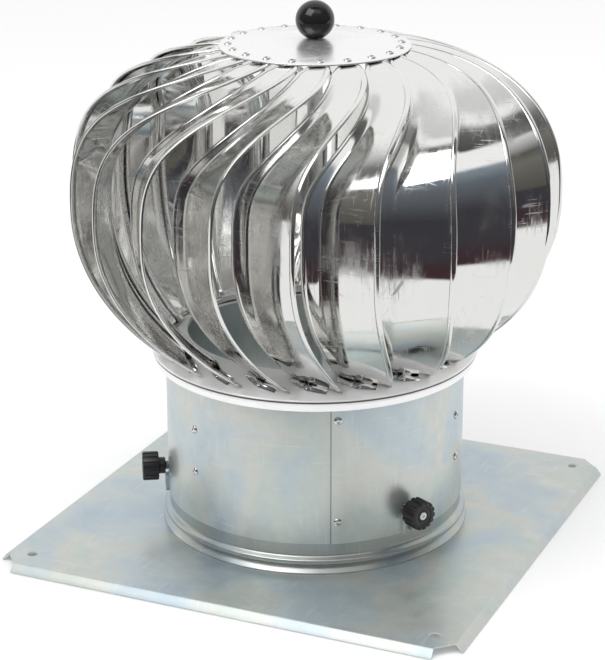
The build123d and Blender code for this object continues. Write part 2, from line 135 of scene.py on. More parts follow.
VANE_COUNT = 20
VANE_PITCH = 360 / VANE_COUNT
VANE_PHASE = 19.1
WAIST_HEIGHT = 230 * MM
WAIST_RADIUS = 161 * MM
LOWER_HEIGHT = 130 * MM
UPPER_HEIGHT = 101.8 * MM
UPPER_POWER = 2.7
TOP_SWEEP = 31.5
TOP_SWEEP_POWER = 4.3
BOTTOM_SWEEP = 14
BOTTOM_SWEEP_POWER = 2.4
CREASE_ANGLE = 12.4
VANE_ANGLE = 17.3
CREASE_DEPTH = 24 * MM
FLANGE_DEPTH = 25 * MM
BOTTOM_CREASE_DEPTH = 10 * MM
BOTTOM_FLANGE_DEPTH = 16 * MM
BOTTOM_ANGLE = 20
TAB_DEPTH = 0.5 * MM
TAB_ANGLE = 11.5
TAB_TAPER = 3.5 * MM
TAB_RADIUS = 48 * MM
VANE_SHEET = 0.5 * MM
HEM_RADIUS = 0.75 * MM
HEM_RETURN = 4.5 * MM
HEM_WIDTH = 3.6 * MM
HEM_CROWN = 0.45 * MM
CREASE_BEND = 2.2 * MM
HEM_STEPS = 6
UPPER_STATIONS = 44
LOWER_STATIONS = 20
STATION_SPREAD = 1.15

DISC_RADIUS = 61.6 * MM
DISC_SHEET = 1 * MM
DISC_RISE = 4 * MM
DISC_SEAT = 0.3 * MM
FLANGE_RADIUS = 20 * MM
TOP_RIVET_RADIUS = 55.6 * MM
BALL_RADIUS = 12.5 * MM
BALL_STEPS = 48
BALL_FOOT_TURN = 0.06
BALL_FOOT_EASE = 0.5 * MM
BALL_SEGMENTS = 96
STUD_FIT = 0.3 * MM
DISC_STEPS = 12
DISC_CROWN_POWER = 2.2
DISC_FULLNESS = 0.2 * MM
DISC_EASE = 0.3 * MM
DISC_SEGMENTS = 160

RING_RADIUS = 108.9 * MM
RING_EDGE_HEIGHT = 127.4 * MM
RING_SKIRT_RADIUS = 106.8 * MM
RING_SKIRT_BOTTOM = 120.1 * MM
RING_INNER_RADIUS = 85 * MM
RING_SLOPE = 0.504
RING_SHEET = 0.7 * MM
RING_LIP = 3 * MM
RING_BEAD = 1.5 * MM
RING_EDGE = 1.5 * MM
RING_BEAD_STEPS = 8
RING_BEAD_SPAN = 150
RING_BEAD_DROP = 0.3
RING_BEAD_REACH = 2.2
RING_ROUND = 0.5 * MM
RING_SEGMENTS = 180
RING_LINE_DROP = 0.9 * MM
SKIRT_FLARE = 0.3 * MM
EDGE_SHADOW = (0.07, 0.06, 0.055)
SLOPE_ANGLE = math.degrees(math.atan(RING_SLOPE))
FOOT_SEAT = 0.3 * MM
FOOT_LIFT = 0.6 * MM
FOOT_WIDTH = 25 * MM
FOOT_REACH = 8 * MM
FOOT_SIDE = 5.4 * MM
FOOT_BENDS = ((-0.4 * MM, 1.0 * MM, 1.2 * MM), (0.1 * MM, 1.6 * MM, 0.3 * MM), (0.8 * MM, 2.4 * MM, 0))
FOOT_SHIFT = 3 * MM
FOOT_RIVET_REACH = 5.2 * MM

RIVET_HEAD = 2.8 * MM
RIVET_RISE = 1.1 * MM
RIVET_EDGE = 0.06 * MM
RIVET_SEGMENTS = 20
RIVET_SHANK = 1.5 * MM
RIVET_STAND = 0.1 * MM
MANDREL_RADIUS = 1.0 * MM
DISC_GRIP = 3.0 * MM
FOOT_GRIP = 2.4 * MM
LAP_GRIP = 1.6 * MM
ARM_GRIP = 3.4 * MM
SHARP_TURN = 40
MERGE_REACH = 0.005 * MM


def at_azimuth(radius, azimuth, height):
    """A point round the axis: azimuth 0 lies on -Y and grows towards +X."""
    turn = math.radians(azimuth)
    return Vector((radius * math.sin(turn), -radius * math.cos(turn), height))


def facing(origin, z_axis, x_hint):
    """The transform that puts local Z on z_axis at an origin, with local X near x_hint."""
    z_axis = z_axis.normalized()
    x_axis = (x_hint - z_axis * x_hint.dot(z_axis)).normalized()
    y_axis = z_axis.cross(x_axis)
    turned = Matrix((x_axis, y_axis, z_axis)).transposed().to_4x4()
    return Matrix.Translation(origin) @ turned


# ---- making pieces --------------------------------------------------------------------------
def turned_out(bm, upwards=False):
    """Turns an open sheet's faces away from the axis, or upwards."""
    total = 0.0
    for face in bm.faces:
        centre = face.calc_center_median()
        away = AXIS_Z if upwards else Vector((centre.x, centre.y, 0)).normalized()
        total += face.normal.dot(away) * face.calc_area()
    if total < 0:
        bmesh.ops.reverse_faces(bm, faces=bm.faces)


def as_piece(name, bm, body, slot, *nodes):
    """Makes a bmesh into a smooth piece that rides on a body and stands for its nodes."""
    mesh = bpy.data.meshes.new(name)
    bm.to_mesh(mesh)
    bm.free()
    mesh.shade_smooth()
    mesh.set_sharp_from_angle(angle=math.radians(SHARP_TURN))
    piece = bpy.data.objects.new(name, mesh)
    bpy.context.scene.collection.objects.link(piece)
    piece.data.materials.append(materials[slot])
    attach(piece, body)
    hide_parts(*nodes)
    return piece


def finished(name, bm, body, slot, *nodes, sheet=0.0, upwards=False):
    """Closes a bmesh, thickens it where it is an open sheet, and makes it a piece."""
    bmesh.ops.remove_doubles(bm, verts=bm.verts, dist=MERGE_REACH)
    bmesh.ops.recalc_face_normals(bm, faces=bm.faces)
    if sheet:
        turned_out(bm, upwards)
        bmesh.ops.solidify(bm, geom=bm.faces[:], thickness=sheet)
    return as_piece(name, bm, body, slot, *nodes)


def thicken(piece, sheet):
    """Gives a sheet its thickness on its inner side."""
    solid = piece.modifiers.new("sheet", "SOLIDIFY")
    solid.thickness = sheet
    solid.offset = -1
    solid.use_even_offset = False


def soften(piece, width, segments=2, angle=40):
    """Rounds the edges that turn by more than an angle."""
    bevel = piece.modifiers.new("edges", "BEVEL")
    bevel.width = width
    bevel.segments = segments
    bevel.limit_method = "ANGLE"
    bevel.angle_limit = math.radians(angle)
    bevel.harden_normals = True


def chain(bm, points):
    """Vertices joined one after another by edges."""
    verts = [bm.verts.new(point) for point in points]
    return verts, [bm.edges.new(pair) for pair in zip(verts, verts[1:])]


def lathe(bm, profile, steps, closed=True):
    """Spins a profile of (radius, height) points round the Z axis."""
    verts, edges = chain(bm, [Vector((radius, 0, height)) for radius, height in profile])
    if closed:
        edges.append(bm.edges.new((verts[-1], verts[0])))
    bmesh.ops.spin(
        bm, geom=verts + edges, cent=ORIGIN, axis=AXIS_Z, angle=math.tau, steps=steps,
        use_merge=True, use_duplicate=False,
    )


def rounded(corners, radius, steps=4, closed=True):
    """A profile whose corners are rounded by up to a radius."""
    points = []
    count = len(corners)
    for index, corner in enumerate(corners):
        here = Vector(corner)
        if not closed and index in (0, count - 1):
            points.append(tuple(here))
            continue
        before = Vector(corners[index - 1]) - here
        after = Vector(corners[(index + 1) % count]) - here
        reach = min(radius, before.length * 0.45, after.length * 0.45)
        start = here + before.normalized() * reach
        end = here + after.normalized() * reach
        for step in range(steps + 1):
            share = step / steps
            bend = start * (1 - share) ** 2 + here * 2 * share * (1 - share) + end * share ** 2
            points.append(tuple(bend))
    return points


def pushed_on(bm, edges, move, places=None):
    """Extrudes a chain, moves each new vertex by a function of the old one and hands on its place."""
    old = []
    for edge in edges:
        for vert in edge.verts:
            if vert not in old:
                old.append(vert)
    made = bmesh.ops.extrude_edge_only(bm, edges=edges)["geom"]
    fresh = {item for item in made if isinstance(item, bmesh.types.BMVert)}
    partner = {}
    for vert in old:
        for edge in vert.link_edges:
            other = edge.other_vert(vert)
            if other in fresh:
                partner[vert] = other
    for vert in old:
        partner[vert].co = move(vert)
        if places is not None:
            places[partner[vert]] = places[vert]
    return [item for item in made if isinstance(item, bmesh.types.BMEdge) and set(item.verts) <= fresh]


# ---- shader groups --------------------------------------------------------------------------
def math_node(tree, operation, first, second=0.0):
    """One operation on two values or sockets."""
    made = tree.nodes.new("ShaderNodeMath")
    made.operation = operation
    for socket, value in zip(made.inputs, (first, second)):
        if isinstance(value, (int, float)):
            socket.default_value = value
        else:
            tree.links.new(value, socket)
    return made.outputs[0]


def noise(tree, vector, scale, detail=3.0, roughness=0.55, distortion=0.0):
    """A soft random pattern."""
    made = tree.nodes.new("ShaderNodeTexNoise")
    made.inputs["Scale"].default_value = scale
    made.inputs["Detail"].default_value = detail
    made.inputs["Roughness"].default_value = roughness
    made.inputs["Distortion"].default_value = distortion
    tree.links.new(vector, made.inputs["Vector"])
    return made.outputs["Fac"]


def ramp(tree, fac, *stops):
    """A colour ramp through (position, grey or colour) stops."""
    made = tree.nodes.new("ShaderNodeValToRGB")
    elements = made.color_ramp.elements
    while len(elements) < len(stops):
        elements.new(0.5)
    for element, (position, value) in zip(elements, stops):
        element.position = position
        element.color = (value, value, value, 1) if isinstance(value, (int, float)) else (*value, 1)
    tree.links.new(fac, made.inputs["Fac"])
    return made.outputs["Color"]


def mix(tree, fac, first, second, blend="MIX"):
    """Two colours blended by a share or a mask."""
    made = tree.nodes.new("ShaderNodeMix")
    made.data_type = "RGBA"
    made.blend_type = blend
    for name, value in (("Factor", fac), ("A", first), ("B", second)):
        kind = "VALUE" if name == "Factor" else "RGBA"
        socket = next(s for s in made.inputs if s.name == name and s.type == kind)
        if isinstance(value, (int, float)):
            socket.default_value = value
        elif isinstance(value, tuple):
            socket.default_value = (*value, 1)
        else:
            tree.links.new(value, socket)
    return next(s for s in made.outputs if s.type == "RGBA")


def stretched(tree, vector, scale):
    """A pattern space stretched by a scale on each axis."""
    made = tree.nodes.new("ShaderNodeMapping")
    made.inputs["Scale"].default_value = scale
    tree.links.new(vector, made.inputs["Vector"])
    return made.outputs["Vector"]


def bumped(tree, height, strength, distance, under=None, sunk=False):
    """A raised or sunk relief, laid over the relief under it where there is one."""
    made = tree.nodes.new("ShaderNodeBump")
    made.invert = sunk
    made.inputs["Strength"].default_value = strength
    made.inputs["Distance"].default_value = distance
    tree.links.new(height, made.inputs["Height"])
    if under is not None:
        tree.links.new(under, made.inputs["Normal"])
    return made.outputs["Normal"]


def dark_line(tree, value, place, stretch, inner, outer):
    """A mask round one place of a value: full up to an inner distance and gone at an outer one."""
    away = math_node(tree, "ABSOLUTE", math_node(tree, "SUBTRACT", value, place))
    return ramp(tree, math_node(tree, "MULTIPLY", away, stretch), (inner, 1.0), (outer, 0.0))


def axes_of(tree, place):
    """The X, Y and Z of a place."""
    made = tree.nodes.new("ShaderNodeSeparateXYZ")
    tree.links.new(place, made.inputs[0])
    return made.outputs


def shader_group(name, inputs, outputs):
    """An empty shader node group with named sockets: (name, socket type, default)."""
    group = bpy.data.node_groups.new(name, "ShaderNodeTree")
    for label, kind, value in inputs:
        socket = group.interface.new_socket(label, in_out="INPUT", socket_type=kind)
        if value is not None:
            socket.default_value = value
    for label, kind in outputs:
        group.interface.new_socket(label, in_out="OUTPUT", socket_type=kind)
    return group, group.nodes.new("NodeGroupInput"), group.nodes.new("NodeGroupOutput")


def build_handling_marks():
    """Fine crossing scratches and cloudy wiping marks left by hands on polished sheet."""
    group, given, out = shader_group(
        "handling_marks",
        [("Vector", "NodeSocketVector", None), ("Scratch Scale", "NodeSocketFloat", 60.0)],
        [("Scratches", "NodeSocketFloat"), ("Clouds", "NodeSocketFloat")],
    )
    place = given.outputs["Vector"]
    scratches = None
    for scale in ((1.0, 0.06, 0.06), (0.06, 1.0, 0.06), (0.05, 0.05, 1.0)):
        lines = group.nodes.new("ShaderNodeTexNoise")
        lines.inputs["Detail"].default_value = 2.0
        group.links.new(stretched(group, place, scale), lines.inputs["Vector"])
        fine = math_node(group, "MULTIPLY", given.outputs["Scratch Scale"], 14.0)
        group.links.new(fine, lines.inputs["Scale"])
        line = ramp(group, lines.outputs["Fac"], (0.62, 0.0), (0.72, 1.0))
        scratches = line if scratches is None else math_node(group, "MAXIMUM", scratches, line)
    patches = ramp(group, noise(group, place, 45.0, 4.0), (0.42, 0.0), (0.66, 1.0))
    broken = math_node(group, "MULTIPLY", scratches, patches)
    clouds = noise(group, place, 22.0, 5.0, 0.62, 0.4)
    group.links.new(broken, out.inputs["Scratches"])
    group.links.new(clouds, out.inputs["Clouds"])
    return group


def build_zinc_bloom():
    """Uneven tint of zinc passivation: blue, straw and faint green patches over a soft mottle."""
    group, given, out = shader_group(
        "zinc_bloom",
        [("Vector", "NodeSocketVector", None)],
        [("Color", "NodeSocketColor"), ("Mottle", "NodeSocketFloat")],
    )
    place = given.outputs["Vector"]
    wide = noise(group, place, 13.0, 3.0, 0.5, 0.6)
    tint = ramp(
        group, wide,
        (0.30, (0.52, 0.62, 0.69)), (0.42, (0.60, 0.68, 0.71)), (0.52, (0.69, 0.71, 0.67)),
        (0.62, (0.62, 0.69, 0.66)), (0.74, (0.56, 0.65, 0.72)),
    )
    mottle = noise(group, place, 85.0, 5.0, 0.65)
    speckle = ramp(group, mottle, (0.35, 0.90), (0.65, 1.0))
    group.links.new(mix(group, 1.0, tint, speckle, "MULTIPLY"), out.inputs["Color"])
    group.links.new(mottle, out.inputs["Mottle"])
    return group


def use_group(tree, group, **sockets):
    """A shader group put to use; its outputs are returned."""
    made = tree.nodes.new("ShaderNodeGroup")
    made.node_tree = group
    for label, value in sockets.items():
        socket = made.inputs[label.replace("_", " ")]
        if isinstance(value, (int, float)):
            socket.default_value = value
        else:
            tree.links.new(value, socket)
    return made.outputs


def new_material(name):
    """A material with its shader and the coordinates that its patterns read."""
    made = bpy.data.materials.new(name)
    made.use_nodes = True
    tree = made.node_tree
    shader = tree.nodes["Principled BSDF"]
    coordinates = tree.nodes.new("ShaderNodeTexCoord")
    return made, tree, shader, coordinates


HANDLING_MARKS = build_handling_marks()
ZINC_BLOOM = build_zinc_bloom()


def polished_sheet(name, dark, light, low, high, wave, streaks=0.0, metal=1.0, edge=None):
    """Mirror-polished stainless sheet: a tint, a roughness range, slow waves and streaks along its length."""
    made, tree, shader, coordinates = new_material(name)
    place = coordinates.outputs["Object"]
    marks = use_group(tree, HANDLING_MARKS, Vector=place, Scratch_Scale=60.0)
    shader.inputs["Metallic"].default_value = metal
    shader.inputs["Specular IOR Level"].default_value = 0.5
    tint = mix(tree, marks["Clouds"], dark, light)
    if edge is not None:
        line = dark_line(tree, axes_of(tree, place)["Z"], edge, 500.0, 0.26, 0.46)
        tint = mix(tree, line, tint, EDGE_SHADOW)
    tree.links.new(tint, shader.inputs["Base Color"])
    haze = ramp(tree, marks["Clouds"], (0.44, low), (0.70, high))
    scratch_haze = math_node(tree, "MULTIPLY", marks["Scratches"], 0.30)
    rough = math_node(tree, "ADD", haze, scratch_haze)
    relief = noise(tree, place, 16.0, 2.0, 0.4)
    if streaks:
        along = stretched(tree, coordinates.outputs["UV"], (1.0, 0.05, 1.0))
        lines = noise(tree, along, 700.0, 3.0, 0.6)
        thin = ramp(tree, lines, (0.45, 0.0), (0.62, 1.0))
        wiped = math_node(tree, "MULTIPLY", thin, ramp(tree, marks["Clouds"], (0.42, 0.0), (0.60, 1.0)))
        rough = math_node(tree, "ADD", rough, math_node(tree, "MULTIPLY", wiped, streaks))
    tree.links.new(rough, shader.inputs["Roughness"])
    slow = bumped(tree, relief, 1.0, wave)
    scored = bumped(tree, marks["Scratches"], 0.25, 0.02 * MM, slow, sunk=True)
    tree.links.new(scored, shader.inputs["Normal"])
    return made


def zinc_sheet(name, low, high, shade, metal, lap=None):
    """Passivated zinc-plated steel with a soft gloss, and a painted shadow line along its lap where it has
    one.
    """
    made, tree, shader, coordinates = new_material(name)
    place = coordinates.outputs["Object"]
    bloom = use_group(tree, ZINC_BLOOM, Vector=place)
    marks = use_group(tree, HANDLING_MARKS, Vector=place, Scratch_Scale=35.0)
    shader.inputs["Metallic"].default_value = metal
    tint = mix(tree, 1.0, bloom["Color"], (shade, shade, shade), "MULTIPLY")
    scratched = mix(tree, math_node(tree, "MULTIPLY", marks["Scratches"], 0.35), tint, (0.86, 0.88, 0.88))
    # painted shadow: a thin dark line along the lap's edge, where the overlapping sheet shades the wall
    if lap is not None:
        axes = axes_of(tree, place)
        turn = math_node(tree, "ARCTAN2", axes["X"], math_node(tree, "MULTIPLY", axes["Y"], -1.0))
        line = dark_line(tree, turn, lap, 100.0, 0.10, 0.34)
        scratched = mix(tree, line, scratched, mix(tree, 1.0, scratched, LAP_PAINTED_SHADOW, "MULTIPLY"))
    tree.links.new(scratched, shader.inputs["Base Color"])
    haze = ramp(tree, bloom["Mottle"], (0.3, low), (0.7, high))
    tree.links.new(haze, shader.inputs["Roughness"])
    relief = noise(tree, place, 9.0, 2.0, 0.4)
    slow = bumped(tree, relief, 0.6, 0.5 * MM)
    tree.links.new(bumped(tree, bloom["Mottle"], 0.12, 0.03 * MM, slow), shader.inputs["Normal"])
    return made


def turned_metal(name, color, low, high):
    """Plain machined or plated metal with a fine grain."""
    made, tree, shader, coordinates = new_material(name)
    place = coordinates.outputs["Object"]
    marks = use_group(tree, HANDLING_MARKS, Vector=place, Scratch_Scale=90.0)
    shader.inputs["Metallic"].default_value = 1.0
    darker = tuple(channel * 0.8 for channel in color)
    tree.links.new(mix(tree, marks["Clouds"], darker, color), shader.inputs["Base Color"])
    tree.links.new(ramp(tree, marks["Clouds"], (0.35, low), (0.7, high)), shader.inputs["Roughness"])
    grain = noise(tree, place, 900.0, 2.0)
    tree.links.new(bumped(tree, grain, 0.1, 0.02 * MM), shader.inputs["Normal"])
    return made


def black_plastic(name, low, high, grain_depth):
    """Moulded black plastic, with faint flow marks and dust."""
    made, tree, shader, coordinates = new_material(name)
    place = coordinates.outputs["Object"]
    marks = use_group(tree, HANDLING_MARKS, Vector=place, Scratch_Scale=110.0)
    shader.inputs["Specular IOR Level"].default_value = 0.5
    tree.links.new(mix(tree, marks["Clouds"], DEEP_BLACK, DUSTY_BLACK), shader.inputs["Base Color"])
    sheen = ramp(tree, marks["Clouds"], (0.35, low), (0.7, high))
    worn = math_node(tree, "ADD", sheen, math_node(tree, "MULTIPLY", marks["Scratches"], 0.12))
    tree.links.new(worn, shader.inputs["Roughness"])
    grain = noise(tree, place, 1300.0, 2.0)
    tree.links.new(bumped(tree, grain, 0.3, grain_depth), shader.inputs["Normal"])
    return made


materials = {
    "polished_vane": polished_sheet(
        "polished_vane", dark=(0.78, 0.777, 0.757), light=(0.885, 0.883, 0.868), low=0.05, high=0.20,
        wave=0.5 * MM, streaks=0.13,
    ),
    "polished_ring": polished_sheet(
        "polished_ring", dark=(0.90, 0.90, 0.90), light=(0.96, 0.96, 0.96), low=0.30, high=0.42,
        wave=0.1 * MM, metal=0.3, edge=RING_EDGE_HEIGHT - RING_LINE_DROP,
    ),
    "polished_disc": polished_sheet(
        "polished_disc", dark=(0.86, 0.86, 0.87), light=(0.93, 0.93, 0.93), low=0.24, high=0.34,
        wave=0.1 * MM, metal=0.85,
    ),
    "zinc_flange": zinc_sheet("zinc_flange", low=0.32, high=0.44, shade=0.88, metal=0.68),
    # painted shade: the collar's zinc is toned darker than the neck's to stand for the dark room that it
    # reflects
    "zinc_collar": zinc_sheet("zinc_collar", low=0.28, high=0.34, shade=0.74, metal=0.88),
    "zinc_neck": zinc_sheet("zinc_neck", low=0.30, high=0.40, shade=0.98, metal=0.78, lap=LAP_START),
    "arm_steel": zinc_sheet("arm_steel", low=0.25, high=0.35, shade=0.90, metal=0.9),
    "rivet": turned_metal("rivet", (0.80, 0.80, 0.81), low=0.12, high=0.22),
    "machined_steel": turned_metal("machined_steel", (0.62, 0.62, 0.63), low=0.18, high=0.32),
    "black_plastic": black_plastic("black_plastic", low=0.05, high=0.10, grain_depth=0.004 * MM),
    "knob_plastic": black_plastic("knob_plastic", low=0.28, high=0.42, grain_depth=0.03 * MM),
}


# ---- vanes ----------------------------------------------------------------------------------
def ring_surface(radius):
    """Height of the ring's sloping shoulder at a radius."""
    return RING_EDGE_HEIGHT + RING_SLOPE * (RING_RADIUS - radius)


def shell_radius(height):
    """Radius of the lower envelope at a height."""
    return WAIST_RADIUS * math.sqrt(1 - ((WAIST_HEIGHT - height) / LOWER_HEIGHT) ** 2)


def shell_height(radius):
    """Height of the upper envelope at a radius."""
    return WAIST_HEIGHT + UPPER_HEIGHT * (1 - (radius / WAIST_RADIUS) ** UPPER_POWER) ** (1 / UPPER_POWER)


def envelope_foot():
    """Height where the lower envelope meets the ring's shoulder, closed in on by halves."""
    low, high = RING_EDGE_HEIGHT, WAIST_HEIGHT
    for _ in range(40):
        middle = (low + high) / 2
        if middle < ring_surface(shell_radius(middle)):
            low = middle
        else:
            high = middle
    return high


VANE_FOOT = envelope_foot() + FOOT_LIFT
FOOT_RADIUS = shell_radius(VANE_FOOT)
RIM_HEIGHT = shell_height(DISC_RADIUS)


def vane_station(radius, height):
    """The free edge, the crease and the inner edge of a vane at one place along it."""
    if height > WAIST_HEIGHT:
        share = min((height - WAIST_HEIGHT) / (RIM_HEIGHT - WAIST_HEIGHT), 1)
        sweep = TOP_SWEEP * share ** TOP_SWEEP_POWER
        fade = share ** 4
        crease = CREASE_DEPTH + (TAB_DEPTH - CREASE_DEPTH) * fade
        flange = FLANGE_DEPTH + (TAB_DEPTH - FLANGE_DEPTH) * fade
        across = (radius / WAIST_RADIUS) ** (UPPER_POWER - 1) / WAIST_RADIUS
        upwards = ((height - WAIST_HEIGHT) / UPPER_HEIGHT) ** (UPPER_POWER - 1) / UPPER_HEIGHT
        dip = -math.atan2(upwards, across)
        narrow = min(max((DISC_RADIUS + TAB_TAPER - radius) / (2 * TAB_TAPER), 0), 1)
        whole = VANE_ANGLE + (TAB_ANGLE - VANE_ANGLE) * narrow
    else:
        share = (WAIST_HEIGHT - height) / (WAIST_HEIGHT - VANE_FOOT)
        sweep = BOTTOM_SWEEP * share ** BOTTOM_SWEEP_POWER
        crease = CREASE_DEPTH + (BOTTOM_CREASE_DEPTH - CREASE_DEPTH) * share ** 2
        flange = FLANGE_DEPTH + (BOTTOM_FLANGE_DEPTH - FLANGE_DEPTH) * share ** 2
        dip = math.radians(SLOPE_ANGLE) * share ** 2
        whole = VANE_ANGLE + (BOTTOM_ANGLE - VANE_ANGLE) * share ** 2
    bend = CREASE_ANGLE * whole / VANE_ANGLE
    return [
        at_azimuth(radius, sweep, height),
        at_azimuth(radius - crease * math.cos(dip), sweep - bend, height + crease * math.sin(dip)),
        at_azimuth(radius - flange * math.cos(dip), sweep - whole, height + flange * math.sin(dip)),
    ]


def vane_rows():
    """Stations of a vane from its foot on the ring to the end of its tab under the disc."""
    foot_turn = math.asin((WAIST_HEIGHT - VANE_FOOT) / LOWER_HEIGHT)
    rows = []
    for step in range(LOWER_STATIONS):
        turn = foot_turn * (1 - step / LOWER_STATIONS)
        rows.append(vane_station(WAIST_RADIUS * math.cos(turn), WAIST_HEIGHT - LOWER_HEIGHT * math.sin(turn)))
    for step in range(UPPER_STATIONS + 1):
        turn = math.pi / 2 * (step / UPPER_STATIONS) ** STATION_SPREAD
        radius = max(WAIST_RADIUS * max(math.cos(turn), 0) ** (2 / UPPER_POWER), TAB_RADIUS)
        rows.append(vane_station(radius, shell_height(radius)))
        if radius <= TAB_RADIUS:
            break
    return rows


def vane_section(edge, crease, flange, along):
    """The sheet's line across a vane: hem, main face, crease, flank and hem."""
    face = (edge - crease).normalized()
    flank = (flange - crease).normalized()
    face_out = (edge - crease).cross(along).normalized()
    flank_out = (crease - flange).cross(along).normalized()

    def hem(tip, inwards, outside):
        """The rolled edge: its return, its round and its crowned strip."""
        middle = tip + inwards * HEM_RADIUS - outside * HEM_RADIUS
        curl = [middle - outside * HEM_RADIUS + inwards * HEM_RETURN]
        for step in range(HEM_STEPS + 1):
            turn = math.pi * step / HEM_STEPS - math.pi / 2
            across = inwards * HEM_RADIUS * math.cos(turn)
            curl.append(middle - across + outside * HEM_RADIUS * math.sin(turn))
        for share in (0.4, 0.6, 0.8, 0.95, 1.0):
            crown = HEM_CROWN * (1 - (2 * share - 1) ** 4) if share < 1 else 0
            curl.append(tip + inwards * HEM_WIDTH * share + outside * crown)
        return curl

    start = hem(edge, -face, face_out)
    end = hem(flange, -flank, flank_out)[::-1]
    points = list(start)
    for share in (0.2, 0.4, 0.6, 0.8):
        points.append(edge + (crease - edge) * share)
    bend_in = crease + face * CREASE_BEND
    bend_out = crease + flank * CREASE_BEND
    for share in (0, 0.25, 0.5, 0.75, 1):
        points.append(bend_in * (1 - share) ** 2 + crease * 2 * share * (1 - share) + bend_out * share ** 2)
    for share in (0.4, 0.7):
        points.append(crease + (flange - crease) * share)
    return points + end


def make_vane(name, azimuth, node):
    """A swept vane drawn station by station, with its foot, turned to its place."""
    bm = bmesh.new()
    rows = vane_rows()
    sections = []
    for index, row in enumerate(rows):
        along = (rows[min(index + 1, len(rows) - 1)][1] - rows[max(index - 1, 0)][1]).normalized()
        sections.append(vane_section(*row, along))
    verts, edges = chain(bm, sections[0])
    order = {vert: index for index, vert in enumerate(verts)}
    uv_place = {vert: (index * MM, 0.0) for vert, index in order.items()}
    length = 0.0
    for row, before, section in zip(rows[1:], rows, sections[1:]):
        length += (row[1] - before[1]).length
        edges = pushed_on(bm, edges, lambda vert: section[order[vert]], order)
        for edge in edges:
            for vert in edge.verts:
                uv_place[vert] = (order[vert] * 2 * MM, length)
    layer = bm.loops.layers.uv.new("vane")
    for face in bm.faces:
        for loop in face.loops:
            loop[layer].uv = uv_place[loop.vert]
    add_foot(bm)
    place = Matrix.Rotation(math.radians(azimuth), 3, "Z")
    bmesh.ops.rotate(bm, verts=bm.verts, cent=ORIGIN, matrix=place)
    bmesh.ops.recalc_face_normals(bm, faces=bm.faces)
    turned_out(bm)
    piece = as_piece(name, bm, "rotor", "polished_vane", node)
    thicken(piece, VANE_SHEET)
    return piece


def foot_frame():
    """Where a vane's foot lies on the ring: x along the fold, z off the ring."""
    edge, _, flange = vane_station(FOOT_RADIUS, VANE_FOOT)
    middle = (edge + flange) / 2
    across = Vector((middle.x, middle.y, 0))
    lean = math.radians(SLOPE_ANGLE)
    off_ring = across.normalized() * math.sin(lean) + AXIS_Z * math.cos(lean)
    seat = across + AXIS_Z * ring_surface(across.length) + off_ring * (FOOT_SEAT + VANE_SHEET)
    return facing(seat, off_ring, flange - edge)


def add_foot(bm):
    """The foot folded out of a vane's lower end, with a blunt point and a small turned root."""
    place = foot_frame()
    half = FOOT_WIDTH / 2
    sides = (FOOT_SHIFT - half, FOOT_SHIFT, FOOT_SHIFT + half)
    root, *flats = [
        [Vector((x, reach, height)) for x, reach in zip(sides, (side, point, side))]
        for side, point, height in (*FOOT_BENDS, (FOOT_SIDE, FOOT_REACH, 0))
    ]
    verts, edges = chain(bm, [place @ point for point in root])
    order = {vert: index for index, vert in enumerate(verts)}
    for flat in flats:
        edges = pushed_on(bm, edges, lambda vert: place @ flat[order[vert]], order)


for index in range(VANE_COUNT):
    label = f"vane_{index + 1:02d}"
    make_vane(f"blade_{index + 1:02d}", VANE_PHASE + VANE_PITCH * index, label)


# ---- rotor ring, disc and ball --------------------------------------------------------------
def disc_crown(radius):
    """How far the disc stands over its rim at a radius."""
    return DISC_RISE * min(1, (DISC_RADIUS - radius) / (DISC_RADIUS - FLANGE_RADIUS))


def make_ring():
    """Rolled ring: sloping shoulder, beaded edge and a short skirt."""
    wall = RING_SHEET / math.cos(math.radians(SLOPE_ANGLE))
    inner = RING_INNER_RADIUS + RING_SHEET
    under = RING_RADIUS - RING_EDGE - RING_SHEET
    span = math.radians(RING_BEAD_SPAN - SLOPE_ANGLE)
    bead = []
    for step in range(RING_BEAD_STEPS + 1):
        turn = math.radians(SLOPE_ANGLE - 90) + span * step / RING_BEAD_STEPS
        out = RING_RADIUS - RING_BEAD * (1 - math.cos(turn))
        bead.append((out, RING_EDGE_HEIGHT - RING_BEAD * (math.sin(turn) + RING_BEAD_DROP)))
    bm = bmesh.new()
    lathe(bm, rounded([
        (RING_SKIRT_RADIUS, RING_SKIRT_BOTTOM),
        (RING_SKIRT_RADIUS + SKIRT_FLARE, RING_EDGE_HEIGHT - RING_BEAD_REACH * RING_BEAD),
        *reversed(bead),
        (RING_INNER_RADIUS, ring_surface(RING_INNER_RADIUS)),
        (RING_INNER_RADIUS, ring_surface(RING_INNER_RADIUS) - RING_LIP),
        (inner, ring_surface(RING_INNER_RADIUS) - RING_LIP),
        (inner, ring_surface(inner) - wall),
        (under, ring_surface(under) - wall),
        (RING_SKIRT_RADIUS - RING_SHEET, RING_SKIRT_BOTTOM),
    ], RING_ROUND), RING_SEGMENTS)
    return finished("ring_shoulder", bm, "rotor", "polished_ring", "lower_ring")


def make_disc():
    """Domed disc with an eased rim."""
    bottom = RIM_HEIGHT + DISC_SEAT
    bore = STUD_RADIUS + STUD_FIT
    over = []
    for step in range(DISC_STEPS + 1):
        radius = DISC_RADIUS + (bore - DISC_RADIUS) * step / DISC_STEPS
        crown = DISC_RISE * (1 - (radius / DISC_RADIUS) ** DISC_CROWN_POWER)
        over.append((radius, bottom + DISC_SHEET + min(crown, disc_crown(radius) + DISC_FULLNESS)))
    under = [(radius, height - DISC_SHEET) for radius, height in reversed(over)]
    bm = bmesh.new()
    lathe(bm, rounded(over + under, DISC_EASE, 3), DISC_SEGMENTS)
    return finished("crown_disc", bm, "rotor", "polished_disc", "top_disc")


